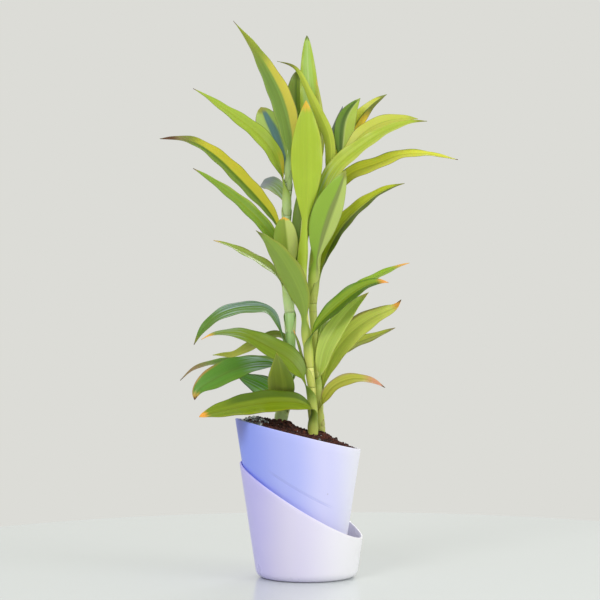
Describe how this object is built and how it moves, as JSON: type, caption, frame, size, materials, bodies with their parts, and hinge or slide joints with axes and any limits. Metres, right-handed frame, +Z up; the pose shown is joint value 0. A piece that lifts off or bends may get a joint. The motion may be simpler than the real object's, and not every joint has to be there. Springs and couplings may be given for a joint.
{
  "type": "potted lucky bamboo",
  "caption": "Leafy lucky bamboo with arching striped leaves on three canes, in potting mix inside a planting pot that stands in a slant-rimmed reservoir pot.",
  "frame": {"origin": "centre of the outer pot's flat base, where it rests on the table", "axes": "+Z up out of the pots along the canes; -Y is the front that the picture shows, +X its right"},
  "size_m": [0.2642, 0.1183, 0.4874],
  "materials": {
    "lilac_white_plastic": "glossy, white to lilac",
    "periwinkle_plastic": "glossy, lilac blue",
    "potting_mix": "loose dark reddish brown potting mix",
    "cane_blue_green": "smooth plant skin, satin",
    "cane_yellow_green": "smooth plant skin, satin",
    "cane_light_green": "smooth plant skin, satin",
    "leaf_green": "waxy leaf with yellow margins, satin",
    "dry_sheath": "dry papery sheath"
  },
  "bodies": {
    "root": {"outer_pot": "lilac_white_plastic", "inner_pot": "periwinkle_plastic", "soil": "potting_mix", "cane_left": "cane_blue_green", "cane_middle": "cane_yellow_green", "cane_right": "cane_light_green", "leaf_left_01": "leaf_green", "leaf_left_02": "leaf_green", "leaf_left_03": "leaf_green", "leaf_left_04": "leaf_green", "leaf_left_05": "leaf_green", "leaf_left_06": "leaf_green", "leaf_left_07": "leaf_green", "leaf_left_08": "leaf_green", "leaf_left_09": "leaf_green", "leaf_left_10": "leaf_green", "leaf_left_11": "leaf_green", "leaf_left_12": "leaf_green", "leaf_left_13": "leaf_green", "leaf_left_14": "leaf_green", "leaf_left_15": "leaf_green", "leaf_left_16": "leaf_green", "leaf_left_17": "leaf_green", "leaf_middle_01": "leaf_green", "leaf_middle_02": "leaf_green", "leaf_middle_03": "leaf_green", "leaf_middle_04": "leaf_green", "leaf_middle_05": "leaf_green", "leaf_middle_06": "leaf_green", "leaf_middle_07": "leaf_green", "leaf_middle_08": "leaf_green", "leaf_middle_09": "leaf_green", "leaf_middle_10": "leaf_green", "leaf_right_01": "leaf_green", "leaf_right_02": "leaf_green", "leaf_right_03": "leaf_green", "leaf_right_04": "leaf_green", "leaf_right_05": "leaf_green", "leaf_right_06": "leaf_green", "leaf_right_07": "leaf_green", "leaf_right_08": "leaf_green", "leaf_right_09": "leaf_green", "leaf_right_10": "leaf_green", "leaf_right_11": "leaf_green", "leaf_right_12": "leaf_green", "leaf_right_13": "leaf_green", "leaf_right_14": "leaf_green", "leaf_right_15": "leaf_green", "leaf_right_16": "leaf_green", "sheath_left": "dry_sheath", "sheath_right": "dry_sheath"}
  },
  "joints": []
}
